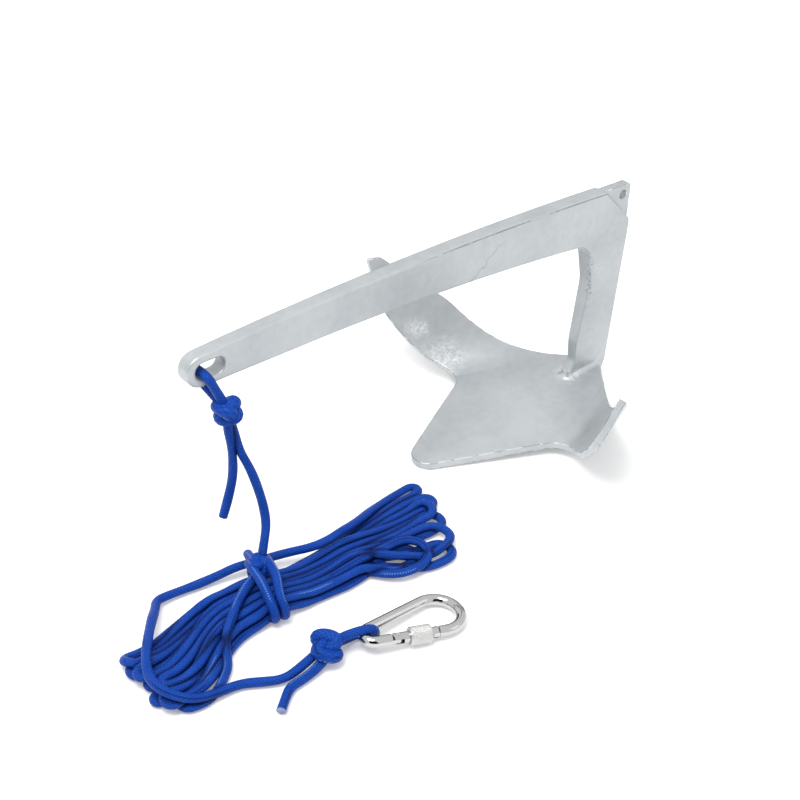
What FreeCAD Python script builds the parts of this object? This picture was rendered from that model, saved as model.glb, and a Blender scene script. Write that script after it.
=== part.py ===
import FreeCAD, Part
import math
import os

from FreeCAD import Vector

# Claw anchor with its rope and snap hook, all sizes in millimetres.
# The anchor stands on its claw as on a deck. X runs from the rope eye to the crown, Z is up and
# the origin lies on the floor below the middle of the anchor. The rope hangs on the side where
# Y is negative, down to a tied hank on the floor, and ends in a screw-gate snap hook.

# Shank
anchor_length = 418.0
shank_height = 178.0            # top edge above the floor at the eye
shank_bow = 6.0                 # how much the top edge arches between its ends
shank_depth_eye = 23.5
shank_thick_eye = 12.5
shank_thick_crown = 15.0
shank_edge_round = 1.6
belly_start = 99.0              # straight part of the shank's underside, from the eye end
belly_radius = 2360.0
window_start = 345.5            # from the eye end to where the underside turns into the arm

# Rope eye: a round-ended slot
slot_length = 23.0
slot_height = 12.5
slot_end_wall = 7.0
slot_edge_round = 1.4

# Arm and heel
arm_root_setback = 46.0         # inner corner of shank and arm, from the crown's end
arm_belly_setback = 41.0        # where the arm's front reaches furthest back
arm_belly_height = 103.0
arm_neck_setback = 51.0         # narrowest place above the foot
arm_neck_height = 50.0
arm_back_setback = 2.0
arm_back_height = 148.0
arm_heel_setback = 14.3
arm_heel_height = 20.0
arm_foot_thick = 7.5
arm_back_round = 6.0
window_corner_drop = 3.0        # from the end of the shank's underside to its corner with the arm
window_corner_round = 16.0
belly_round = 32.0
neck_round = 18.0
foot_round = 9.0
foot_flare = 7.0
foot_flare_height = 24.0
foot_fillet = 5.5               # concave corner where the arm stands on the claw
heel_setback = 22.0
heel_tread = 8.0
heel_round = 12.0
heel_tread_round = 2.5
keel_length = 105.0

# Crown lug for the trip line: the thin corner of the crown
lug_thick = 7.0
lug_setback = 30.0
lug_drop = 1.0                  # how far the top edge falls over the lug
lug_depth = 30.0
lug_corner_round = 3.0
lug_root = 8.0                  # how far the lug runs into the shank
lug_step_round = 3.0            # where the thick shank ends at the lug
lug_hole_diameter = 7.5
lug_hole_wall = 4.6             # metal between the hole and the lug's edges

# Claw plate
plate_thick = 5.5
plate_rise = 0.074              # slope of the claw's floor, up towards the arm
fluke_tip_setback = 217.0       # from the crown's end
fluke_nose_width = 18.0
fluke_nose_round = 14.5
scallop_setback = 113.5
scallop_span = 124.6
scallop_round = 18.0
horn_front_setback = 147.7      # where a horn's front edge turns towards its end
horn_front_span = 244.0
horn_front_round = 24.0
horn_tip_setback = 151.2        # front corner of a horn's blunt end
horn_span = 286.6               # over the front corners, in the middle of the plate
horn_back_setback = 140.0       # back corner of the blunt end
horn_back_span = 277.0
horn_back_round = 16.0
horn_flank_setback = 99.0       # where the horn's back edge bends towards its end
horn_flank_span = 208.6
horn_tip_round = 1.0
plate_back_setback = 23.0
plate_back_width = 14.0
plate_back_round = 3.0
horn_bend_setback = 115.5       # where the bend line is horn_bend_half from the middle plane
horn_bend_half = 60.5
horn_toe = 0.41                 # the two bend lines close in by this much per unit length, each
sheet_margin = 1.3              # how much wider the bent sheet is than the horn cut from it
horn_bend_rate = 0.0198         # rise of a horn is this times its distance from the bend squared

# Rope
rope_diameter = 6.5
rope_gap = 0.3
hook_on_rope_gap = 0.9          # under the hook's small end, where the line passes below it
eye_knot_size = (21.0, 20.0, 22.0)
tie_knot_size = (20.0, 17.0, 11.0)
hook_knot_size = (25.0, 20.0, 17.0)
hank_height = 18.0
hank_end_height = 8.0
binding_swell = 2.5
binding_width = 13.5
binding_length = 52.0           # across the hank
binding_slant = 0.17            # how far the binding leans for each unit across the hank
binding_round = 9.0
binding_middle = (-190, -57)

# Snap hook
hook_length = 82.0
hook_width = 42.0
wire_diameter = 8.0
hook_eye_radius = 7.5           # middle of the wire round the small eye
gate_hinge_at = 24.0            # from the small end
gate_gap_at = 51.6              # free end of the gate
gate_gap = 1.2
gate_opening = 24.0             # degrees the gate swings in
hinge_tongue = 3.0              # thickness of the wire's flattened ends
hinge_ear_round = 4.1           # the gate's forked end, about the hinge
hinge_knuckle_round = 3.2
hinge_pin_diameter = 3.0
hinge_end_clearance = 0.5       # from the wire's end to the gate's ears
fork_clearance = 0.25
running_clearance = 0.06
latch_pin_setback = 1.4         # from the gate's free end
latch_pin_diameter = 1.6
latch_pin_sink = 0.4            # below the gate's surface, at each end
latch_lip = 0.9
latch_lip_height = 1.0
latch_half_height = 3.3
latch_clearance = 0.25
latch_floor = 0.7               # from the lip to the end of the gate's slot
sleeve_diameter = 13.0
sleeve_length = 15.5
sleeve_rest = 1.3               # from the lip to the unscrewed sleeve
sleeve_travel = 7.5
sleeve_chamfer = 0.8
sleeve_bore_clearance = 0.2

half_length = anchor_length / 2
crown_x = half_length
eye_radius = shank_depth_eye / 2
eye_x = -half_length + eye_radius
eye_z = shank_height - eye_radius
fluke_tip_x = crown_x - fluke_tip_setback


def line(a, b):
    return Part.LineSegment(a, b).toShape()


def arc(a, b, c):
    return Part.Arc(a, b, c).toShape()


def bend_edges(corners, closed):
    """Straight edges through (point, radius) corners, with an arc at each corner that has a radius."""
    count = len(corners)
    starts = []
    ends = []
    middles = []
    for i in range(count):
        here, radius = corners[i]
        if radius <= 0 or (not closed and i in (0, count - 1)):
            starts.append(here)
            ends.append(here)
            middles.append(None)
            continue
        back = (corners[i - 1][0] - here).normalize()
        ahead = (corners[(i + 1) % count][0] - here).normalize()
        half = back.getAngle(ahead) / 2
        trim = radius / math.tan(half)
        starts.append(here + back * trim)
        ends.append(here + ahead * trim)
        middles.append(here + (back + ahead).normalize() * (radius / math.sin(half) - radius))
    edges = []
    for i in range(count):
        if middles[i] is not None:
            edges.append(arc(starts[i], middles[i], ends[i]))
        if closed or i < count - 1:
            following = starts[(i + 1) % count]
            if (following - ends[i]).Length > 1e-6:
                edges.append(line(ends[i], following))
    return edges


def outline_prism(corners, direction):
    return Part.Face(Part.Wire(bend_edges(corners, True))).extrude(direction)


def side_prism(points, half_width):
    """Solid from an outline in the X-Z plane, as thick as twice half_width about the middle plane."""
    corners = [(Vector(x, -half_width, z), radius) for x, z, radius in points]
    return outline_prism(corners, Vector(0, 2 * half_width, 0))


def plan_prism(points, bottom, top):
    corners = [(Vector(x, y, bottom), radius) for x, y, radius in points]
    return outline_prism(corners, Vector(0, 0, top - bottom))


def report(shape, name):
    shape.exportStep("parts/" + name + ".step")
    print(name, "solids", len(shape.Solids), "cm3", round(shape.Volume / 1000, 2), "valid", shape.isValid())


# Shank, arm and heel in one side outline

def belly_height(x):
    """Underside of the shank: level from the eye, then falling on a large arc."""
    start = -half_length + belly_start
    drop = max(x - start, 0.0)
    return shank_height - shank_depth_eye - belly_radius + math.sqrt(belly_radius ** 2 - drop ** 2)


def plate_middle(x):
    """Height of the plate's middle surface over the anchor's middle plane."""
    return plate_thick / 2 + plate_rise * (x - fluke_tip_x)


def top_edge_arc(end_x):
    """Centre height and radius of the bowed top edge, tangent to the round eye end."""
    reach = half_length - eye_radius
    radius = (reach ** 2 - eye_radius ** 2 + (eye_z - shank_height - shank_bow) ** 2) / (2 * shank_bow)
    centre = Vector(0, 0, shank_height + shank_bow - radius)
    to_eye = (Vector(eye_x, 0, eye_z) - centre).normalize()
    start = centre + to_eye * radius
    end = Vector(end_x, 0, centre.z + math.sqrt(radius ** 2 - end_x ** 2))
    return start, centre + Vector(0, 0, radius), end


def shank_outline():
    step_x = crown_x - lug_setback
    start, apex, end = top_edge_arc(step_x)
    belly_x = -half_length + belly_start
    turn_x = -half_length + window_start
    turn = Vector(turn_x, 0, belly_height(turn_x))
    belly_middle_x = (belly_x + turn_x) / 2
    level = Vector(eye_x, 0, eye_z - eye_radius)
    foot_x = crown_x - arm_neck_setback - foot_flare
    corners = [
        (turn, 0),
        (Vector(crown_x - arm_root_setback, 0, turn.z - window_corner_drop), window_corner_round),
        (Vector(crown_x - arm_belly_setback, 0, arm_belly_height), belly_round),
        (Vector(crown_x - arm_neck_setback, 0, arm_neck_height), neck_round),
        (Vector(crown_x - arm_neck_setback, 0, foot_flare_height + foot_flare), foot_round),
        (Vector(foot_x, 0, plate_middle(foot_x) + plate_thick), 0),
        (Vector(foot_x, 0, plate_middle(foot_x)), 0),
        (Vector(crown_x - keel_length, 0, plate_middle(crown_x - keel_length)), 0),
        (Vector(crown_x - heel_setback - heel_tread, 0, 0), heel_tread_round),
        (Vector(crown_x - heel_setback, 0, 0), heel_tread_round),
        (Vector(crown_x - arm_heel_setback, 0, arm_heel_height), heel_round),
        (Vector(crown_x - arm_back_setback, 0, arm_back_height), arm_back_round),
        (Vector(crown_x - lug_setback / 2, 0, shank_height - lug_depth / 2), lug_step_round),
        (end, 0),
    ]
    edges = [
        arc(level, Vector(-half_length, 0, eye_z), start),
        arc(start, apex, end),
        line(level, Vector(belly_x, 0, level.z)),
        arc(Vector(belly_x, 0, level.z), Vector(belly_middle_x, 0, belly_height(belly_middle_x)), turn),
    ]
    edges.extend(bend_edges(corners, False))
    return Part.Wire(Part.__sortEdges__(edges))


def thickness_at(x):
    share = (x + half_length) / anchor_length
    return shank_thick_eye + share * (shank_thick_crown - shank_thick_eye)


def shank_and_arm():
    """Side outline, thinner towards the eye and towards the foot of the arm."""
    wide = shank_thick_crown
    blank = Part.Face(shank_outline()).extrude(Vector(0, 2 * wide, 0))
    blank.translate(Vector(0, -wide, 0))
    ahead = crown_x + wide
    behind = -half_length - wide
    plan = [
        (behind, -thickness_at(behind) / 2, 0),
        (ahead, -thickness_at(ahead) / 2, 0),
        (ahead, thickness_at(ahead) / 2, 0),
        (behind, thickness_at(behind) / 2, 0),
    ]
    wedge = plan_prism(plan, -wide, shank_height + 2 * wide)
    body = blank.common(wedge)
    # The arm's sides close in from the shank's underside down to the heel
    foot = arm_foot_thick / 2
    top = shank_height + 2 * wide
    shoulder = arm_belly_height + 2 * window_corner_round
    front = [
        (Vector(-half_length - wide, -foot, 0), 0),
        (Vector(-half_length - wide, -thickness_at(crown_x) / 2, shoulder), 0),
        (Vector(-half_length - wide, -thickness_at(crown_x) / 2, top), 0),
        (Vector(-half_length - wide, thickness_at(crown_x) / 2, top), 0),
        (Vector(-half_length - wide, thickness_at(crown_x) / 2, shoulder), 0),
        (Vector(-half_length - wide, foot, 0), 0),
    ]
    return body.common(outline_prism(front, Vector(anchor_length + 3 * wide, 0, 0)))


def outline_edges(solid, low_x, high_x, low_z, high_z):
    """Edges that run along the outline on either side, not across the thickness."""
    chosen = []
    for edge in solid.Edges:
        box = edge.BoundBox
        middle = (box.YMin + box.YMax) / 2
        along = max(box.XLength, box.ZLength)
        inside = low_x <= box.XMin and box.XMax <= high_x and low_z <= box.ZMin and box.ZMax <= high_z
        if abs(middle) > 1.0 and along > 2 * box.YLength and inside:
            chosen.append(edge)
    return chosen


def slot_cutter():
    left = -half_length + slot_end_wall
    radius = slot_height / 2
    deep = 2 * shank_thick_crown
    run = slot_length - slot_height
    first = Vector(left + radius, -shank_thick_crown, eye_z)
    middle = Part.makeBox(run, deep, slot_height, first - Vector(0, 0, radius))
    across = Vector(0, 1, 0)
    first_end = Part.makeCylinder(radius, deep, first, across)
    last_end = Part.makeCylinder(radius, deep, first + Vector(run, 0, 0), across)
    return middle.fuse(first_end).fuse(last_end).removeSplitter()


def crown_lug():
    _, _, step = top_edge_arc(crown_x - lug_setback)
    top = step.z
    points = [
        (crown_x - lug_setback - lug_root, top - lug_root / 4, 0),
        (crown_x - lug_setback, top, 0),
        (crown_x, top - lug_drop, lug_corner_round),
        (crown_x - arm_back_setback, top - lug_depth, 0),
        (crown_x - lug_setback, top - lug_depth, 0),
    ]
    lug = side_prism(points, lug_thick / 2)
    hole = Part.makeCylinder(lug_hole_diameter / 2, 2 * lug_thick, lug_hole_place(), Vector(0, 1, 0))
    return lug.cut(hole)


def lug_hole_place():
    _, _, step = top_edge_arc(crown_x - lug_setback)
    inset = lug_hole_diameter / 2 + lug_hole_wall
    return Vector(crown_x - inset, -lug_thick, step.z - lug_drop - inset)


# Claw plate: a sloping floor whose two sides bend up into horns

def plate_sheet():
    """Middle surface of one side before trimming: flat inside, a parabola outside its bend line."""
    toe = Vector(1, horn_toe, plate_rise)
    stretch = math.hypot(1, horn_toe)
    outward = Vector(horn_toe, -1, plate_rise * horn_toe) / stretch
    bend_x = crown_x - horn_bend_setback
    origin = Vector(bend_x, -horn_bend_half, plate_middle(bend_x))
    outer = sheet_margin * (horn_span / 2 - horn_bend_half)
    samples = 6
    points = []
    for i in range(samples + 1):
        distance = outer * i / samples
        rise = horn_bend_rate * (distance * stretch) ** 2
        points.append(origin + outward * distance + Vector(0, 0, rise))
    horn = Part.BSplineCurve()
    horn.interpolate(points)
    section = Part.Wire([line(origin - outward * (3 * horn_bend_half), origin), horn.toShape()])
    section.translate(toe * (-anchor_length / 2))
    return section.extrude(toe * anchor_length)


def claw_outline():
    """One side of the claw in plan, from the fluke's nose round the horn to the arm's foot."""
    return [
        (fluke_tip_x, 0, 0),
        (fluke_tip_x, -fluke_nose_width / 2, fluke_nose_round),
        (crown_x - scallop_setback, -scallop_span / 2, scallop_round),
        (crown_x - horn_front_setback, -horn_front_span / 2, horn_front_round),
        (crown_x - horn_tip_setback, -horn_span / 2, horn_tip_round),
        (crown_x - horn_back_setback, -horn_back_span / 2, horn_back_round),
        (crown_x - horn_flank_setback, -horn_flank_span / 2, horn_span / 4),
        (crown_x - plate_back_setback, -plate_back_width / 2, plate_back_round),
        (crown_x - plate_back_setback, 0, 0),
    ]


def mirrored_pair(near):
    return near.fuse(near.mirror(Vector(0, 0, 0), Vector(0, 1, 0)))


def claw_plate():
    """Half the sheet is trimmed to its outline, thickened both ways and mirrored."""
    trimmed = plate_sheet().common(plan_prism(claw_outline(), -anchor_length, anchor_length))
    upper = Part.makeShell(trimmed.Faces).makeOffsetShape(plate_thick / 2, 0.01)
    near = upper.makeOffsetShape(-plate_thick, 0.01, fill=True)
    return mirrored_pair(near).removeSplitter()


def foot_corner():
    """The rounded inner corner between the arm's foot and the claw, along both sides and round the front."""
    half = arm_foot_thick / 2
    front_x = crown_x - arm_neck_setback - foot_flare + half
    origin = Vector(front_x, 0, plate_middle(front_x) + plate_thick / 2)
    along = Vector(1, 0, plate_rise).normalize()
    up = Vector(-plate_rise, 0, 1).normalize()
    sideways = Vector(0, -1, 0)

    def place(out, height):
        return origin + sideways * out + up * height

    edge = half + foot_fillet
    sagging = foot_fillet * (1 - math.sqrt(0.5))
    section = Part.Face(Part.Wire([
        line(place(0, -plate_thick / 2), place(edge, -plate_thick / 2)),
        line(place(edge, -plate_thick / 2), place(edge, 0)),
        arc(place(edge, 0), place(half + sagging, sagging), place(half, foot_fillet)),
        line(place(half, foot_fillet), place(0, foot_fillet)),
        line(place(0, foot_fillet), place(0, -plate_thick / 2)),
    ]))
    side = section.extrude(along * arm_root_setback)
    side = side.common(plan_prism(claw_outline(), -anchor_length, anchor_length))
    return mirrored_pair(side).fuse(section.revolve(origin, up, 360)).removeSplitter()


def anchor_casting():
    body = shank_and_arm()
    rims = outline_edges(body, -anchor_length, anchor_length, plate_thick * 4, anchor_length)
    body = body.makeFillet(shank_edge_round, rims)
    body = body.cut(slot_cutter())
    slot_edges = []
    left = -half_length + slot_end_wall
    for edge in body.Edges:
        box = edge.BoundBox
        in_slot = box.XMin > left - 0.1 and box.XMax < left + slot_length + 0.1
        if in_slot and box.ZMin > eye_z - slot_height and abs(box.YMin + box.YMax) > 2.0:
            slot_edges.append(edge)
    body = body.makeFillet(slot_edge_round, slot_edges)
    return body.fuse(claw_plate()).fuse(foot_corner()).fuse(crown_lug())


# Rope

def rope_path(points):
    """Straight runs joined by arcs, each as large as the shorter of its two runs allows."""
    corners = [(points[0], 0)]
    radii = []
    for i in range(1, len(points) - 1):
        back = points[i - 1] - points[i]
        ahead = points[i + 1] - points[i]
        turn = math.pi - back.getAngle(ahead)
        radius = 0.45 * min(back.Length, ahead.Length) / math.tan(turn / 2)
        corners.append((points[i], radius))
        radii.append(round(radius))
    corners.append((points[-1], 0))
    return Part.Wire(bend_edges(corners, False)), radii


def rope_tube(points, name):
    path, radii = rope_path([Vector(*p) for p in points])
    first = path.Edges[0]
    start = first.valueAt(first.FirstParameter)
    section = Part.Wire(Part.makeCircle(rope_diameter / 2, start, first.tangentAt(first.FirstParameter)))
    tube = path.makePipeShell([section], True, False)
    expected = math.pi * rope_diameter ** 2 / 4 * path.Length
    print(name, "length", round(path.Length, 1), "volume ratio", round(tube.Volume / expected, 4), "radii", radii)
    return tube


def knot(centre, size):
    """Rounded lump of a knot: a ball stretched along the three axes."""
    ball = Part.makeSphere(0.5)
    stretch = FreeCAD.Matrix()
    stretch.scale(Vector(*size))
    shaped = ball.transformGeometry(stretch)
    shaped.translate(Vector(*centre))
    return shaped


eye_knot_at = (-185, -14, 135)
tie_knot_at = (-184.5, -44, hank_height + binding_swell + rope_gap + tie_knot_size[2] / 2)
hook_knot_at = (-194, -129, 8.8)

eye_loop_route = [
    eye_knot_at,
    (-188, -14, 151),
    (-192.3, -11.4, 163.7),
    (-193.3, 11.4, 163.7),
    (-191.5, 11.6, 150.0),
    (-187.5, -3.0, 143.0),
    eye_knot_at,
]
hanging_route = [
    (-184.5, -17, 134),
    (-182.5, -16, 120),
    (-181.8, -19.5, 104),
    (-176.8, -24, 89),
    (-174.4, -29, 73.5),
    (-173.3, -33, 59),
    (-174.6, -37, 46.5),
    (-179.5, -41, 37),
    tie_knot_at,
]
eye_tail_route = [
    (-184, -9.8, 134),
    (-183.2, -9.4, 120.5),
    (-180.8, -9.4, 102.5),
    (-180.6, -9.4, 83.0),
    (-183.8, -9.4, 66.0),
    (-191.3, -9.4, 46.0),
]
lead_route = [
    (-122, -50, 11),
    (-137, -41, 12.5),
    (-152, -32.5, 12),
    (-168, -24, 9),
    (-187, -17.5, 5),
    (-210, -15.5, 3.8),
    (-236, -15.5, 3.6),
    (-253, -17.5, 4.2),
    (-270, -33, 9.5),
    (-284, -51, 12.2),
    (-297, -69, 12.4),
    (-303.5, -87, 12.4),
    (-301.5, -104, 12.4),
    (-289, -114.5, 9),
    (-271, -113.5, 3.8),
    (-254, -115.5, 3.6),
    (-242.5, -124, 3.6),
    (-228, -131, 3.8),
    (-213, -130.0, 5.5),
    (-196, -126.5, 9),
]
hook_tail_route = [
    (-196, -134, 7),
    (-208, -137.5, 4.5),
    (-220, -140.2, 3.6),
    (-232, -142.5, 3.6),
    (-241, -148, 3.6),
    (-249, -155, 3.6),
]
hook_loop_route = [
    hook_knot_at,
    (-183, -131, 16.0),
    (-172, -135.3, 19.3),
    (-159.9, -139.9, 18.9),
    (-159.7, -142.0, 3.4),
    (-171, -142.2, 3.4),
    (-183, -137.5, 4.2),
    hook_knot_at,
]


def hank():
    """Outer shape of the doubled turns, flat on the floor, with the swelling of its binding."""
    plan = [
        (-307, -50, 14),
        (-228, -31, 60),
        (-195, -32, 30),
        (-172, -50, 25),
        (-138, -50, 60),
        (-95, -35, 80),
        (-24, -22, 16),
        (-38, -62, 40),
        (-50, -98, 12),
        (-74, -107, 16),
        (-112, -88, 60),
        (-172, -89, 60),
        (-190, -81, 40),
        (-238, -80, 30),
        (-262, -104, 30),
        (-309, -109, 10),
    ]
    side = [
        (-309, 0, 0),
        (-24, 0, 0),
        (-24, hank_height * 0.6, 4),
        (-90, hank_height, 60),
        (-225, hank_height, 40),
        (-268, hank_end_height, 40),
        (-309, hank_end_height, 4),
    ]
    body = plan_prism(plan, 0, hank_height).common(side_prism(side, anchor_length))
    across = Vector(binding_slant, 1, 0).normalize()
    along = Vector(1, -binding_slant, 0).normalize()
    half_width = binding_length / 2 + binding_swell
    near = Vector(*binding_middle, rope_gap) - across * half_width
    far = Vector(*binding_middle, rope_gap) + across * half_width
    rise = Vector(0, 0, hank_height + binding_swell - rope_gap)
    band = [(near, 0), (near + rise, binding_round), (far + rise, binding_round), (far, 0)]
    band_solid = outline_prism(band, along * binding_width)
    band_solid.translate(along * (-binding_width / 2))
    return body, band_solid


# Snap hook, made in its own frame: u along it from the small end, v to the plain side, w up

hook_yaw = -8.5
hook_tip = Vector(-173.3, -139.3, 0)
wire_radius = wire_diameter / 2
bow_radius = hook_width / 2 - wire_radius
bow_at = hook_length - hook_width / 2
small_at = hook_eye_radius + wire_radius
side_slope = math.asin((bow_radius - hook_eye_radius) / (bow_at - small_at))
hook_tip_height = rope_diameter + hook_on_rope_gap + wire_radius
hook_pitch = math.degrees(math.asin((hook_tip_height - wire_radius) / (hook_length - wire_radius)))


def hook_placement():
    turn = FreeCAD.Rotation(Vector(0, 0, 1), hook_yaw).multiply(FreeCAD.Rotation(Vector(0, 1, 0), hook_pitch))
    return FreeCAD.Placement(hook_tip + Vector(0, 0, hook_tip_height), turn)


def place_hook(shape):
    placed = shape.copy()
    placed.transformShape(hook_placement().toMatrix())
    return placed


gate_along = Vector(math.cos(side_slope), -math.sin(side_slope), 0)
gate_inward = Vector(math.sin(side_slope), math.cos(side_slope), 0)


def on_gate(u, inward=0.0, up=0.0):
    """Point on the gate's axis at u from the small end, moved inward and up."""
    start = Vector(small_at - hook_eye_radius * math.sin(side_slope), -hook_eye_radius * math.cos(side_slope), 0)
    along = (u - start.x) / gate_along.x
    return start + gate_along * along + gate_inward * inward + Vector(0, 0, up)


def gate_box(u_from, u_to, inward_from, inward_to, thickness):
    corners = [
        (on_gate(u_from, inward_from, -thickness / 2), 0),
        (on_gate(u_to, inward_from, -thickness / 2), 0),
        (on_gate(u_to, inward_to, -thickness / 2), 0),
        (on_gate(u_from, inward_to, -thickness / 2), 0),
    ]
    return outline_prism(corners, Vector(0, 0, thickness))


def gate_cylinder(u_from, u_to, radius):
    start = on_gate(u_from)
    end = on_gate(u_to)
    return Part.makeCylinder(radius, (end - start).Length, start, gate_along)


hinge_root_at = gate_hinge_at - hinge_ear_round - hinge_end_clearance
nose_at = gate_gap_at + gate_gap
latch_at = gate_gap_at - latch_pin_setback
latch_notch_half = latch_pin_diameter / 2 + latch_clearance
latch_lip_at = latch_at - latch_notch_half - latch_lip
slot_width = hinge_tongue + 2 * fork_clearance
sleeve_end_at = latch_lip_at - sleeve_rest


def hinge_cylinder(radius, length):
    return Part.makeCylinder(radius, length, on_gate(gate_hinge_at, 0, -length / 2))


def hook_body():
    """Bent wire with a hinge tongue at one end and a latch nose at the other."""
    upper_small = Vector(small_at - hook_eye_radius * math.sin(side_slope),
                         hook_eye_radius * math.cos(side_slope), 0)
    upper_bow = Vector(bow_at - bow_radius * math.sin(side_slope), bow_radius * math.cos(side_slope), 0)
    lower_small = Vector(upper_small.x, -upper_small.y, 0)
    lower_bow = Vector(upper_bow.x, -upper_bow.y, 0)
    path = Part.Wire([
        line(on_gate(hinge_root_at), lower_small),
        arc(lower_small, Vector(small_at - hook_eye_radius, 0, 0), upper_small),
        line(upper_small, upper_bow),
        arc(upper_bow, Vector(bow_at + bow_radius, 0, 0), lower_bow),
    ])
    section = Part.Wire(Part.makeCircle(wire_radius, on_gate(hinge_root_at), gate_along))
    wire = path.makePipeShell([section], True, False)
    nose = gate_cylinder(nose_at, lower_bow.x, wire_radius)
    knuckle = hinge_knuckle_round
    tongue = gate_box(hinge_root_at - knuckle, gate_hinge_at, -knuckle, knuckle, hinge_tongue)
    tongue = tongue.fuse(hinge_cylinder(knuckle, hinge_tongue))
    solid = wire.fuse(nose).fuse(tongue).fuse(latch_hook())
    return solid.cut(hinge_cylinder(hinge_pin_diameter / 2, 2 * wire_diameter)).removeSplitter()


def latch_hook():
    """Flat end of the nose: a notch that the gate's latch pin drops into, behind a low lip."""
    half = latch_half_height
    flat = gate_box(latch_lip_at, nose_at + half, -half, half, hinge_tongue)
    notch = gate_box(latch_at - latch_notch_half, latch_at + latch_notch_half, -latch_notch_half,
                     wire_diameter, wire_diameter)
    above_lip = gate_box(latch_lip_at - latch_lip, latch_at, latch_lip_height, wire_diameter, wire_diameter)
    return flat.cut(notch).cut(above_lip)


def gate_bar():
    """Round bar with rounded ears over the hinge tongue and a slot over the latch hook."""
    bar = gate_cylinder(gate_hinge_at, gate_gap_at, wire_radius)
    ears = gate_cylinder(hinge_root_at, gate_hinge_at + hinge_ear_round, wire_radius)
    ears = ears.common(hinge_cylinder(hinge_ear_round, wire_diameter))
    knuckle_end = gate_hinge_at + hinge_knuckle_round + fork_clearance
    hinge_slot = gate_box(hinge_root_at, knuckle_end, -wire_diameter, wire_diameter, slot_width)
    latch_slot = gate_box(latch_lip_at - latch_floor, nose_at, -wire_diameter, wire_diameter, slot_width)
    hinge_bore = hinge_cylinder(hinge_pin_diameter / 2 + running_clearance, 2 * wire_diameter)
    bar = bar.fuse(ears).cut(hinge_slot).cut(latch_slot).cut(hinge_bore)
    return bar.cut(cross_pin(latch_at, latch_pin_diameter, 2 * wire_diameter)).removeSplitter()


def cross_pin(u, diameter, length):
    return Part.makeCylinder(diameter / 2, length, on_gate(u, 0, -length / 2))


def locking_sleeve():
    """Plain tube with broken edges, unscrewed from the gate's free end."""
    start = on_gate(sleeve_end_at) - gate_along * sleeve_length
    tube = Part.makeCylinder(sleeve_diameter / 2, sleeve_length, start, gate_along)
    rims = [edge for edge in tube.Edges if isinstance(edge.Curve, Part.Circle)]
    tube = tube.makeChamfer(sleeve_chamfer, rims)
    bore_start = start - gate_along * sleeve_length
    bore = Part.makeCylinder(wire_radius + sleeve_bore_clearance, 3 * sleeve_length, bore_start, gate_along)
    return tube.cut(bore)


def main():
    os.makedirs("parts", exist_ok=True)
    report(anchor_casting(), "claw_anchor")

    eye_knot = knot(eye_knot_at, eye_knot_size)
    tie_knot = knot(tie_knot_at, tie_knot_size)
    hook_knot = knot(hook_knot_at, hook_knot_size)
    turns, binding = hank()
    hank_solid = turns.fuse(binding)
    report(eye_knot, "rope_eye_knot")
    report(tie_knot, "rope_tie_knot")
    report(hook_knot, "rope_hook_knot")
    report(hank_solid, "rope_hank")
    report(rope_tube(eye_loop_route, "rope_eye_loop").cut(eye_knot), "rope_eye_loop")
    report(rope_tube(eye_tail_route, "rope_eye_tail").cut(eye_knot), "rope_eye_tail")
    report(rope_tube(hanging_route, "rope_hanging").cut(eye_knot).cut(tie_knot), "rope_hanging")
    report(rope_tube(lead_route, "rope_lead").cut(hank_solid).cut(hook_knot), "rope_lead")
    report(rope_tube(hook_loop_route, "rope_hook_loop").cut(hook_knot), "rope_hook_loop")
    report(rope_tube(hook_tail_route, "rope_hook_tail").cut(hook_knot), "rope_hook_tail")

    report(place_hook(hook_body()), "snap_hook_body")
    report(place_hook(gate_bar()), "snap_hook_gate")
    report(place_hook(cross_pin(gate_hinge_at, hinge_pin_diameter, wire_diameter)), "snap_hook_hinge_pin")
    latch_pin = cross_pin(latch_at, latch_pin_diameter, wire_diameter - 2 * latch_pin_sink)
    report(place_hook(latch_pin), "snap_hook_latch_pin")
    report(place_hook(locking_sleeve()), "snap_hook_sleeve")

    hole = lug_hole_place()
    print("trip line hole at", round(hole.x, 3), 0, round(hole.z, 3))
    matrix = hook_placement().toMatrix()
    turn = hook_placement().Rotation
    print("gate hinge at", matrix.multVec(on_gate(gate_hinge_at)), "axis", turn.multVec(Vector(0, 0, 1)))
    print("gate swings", gate_opening, "degrees, and the sleeve travels", sleeve_travel, "along", turn.multVec(gate_along))
    print("middle of the hook's bow", matrix.multVec(Vector(bow_at, 0, 0)))


main()
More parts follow.
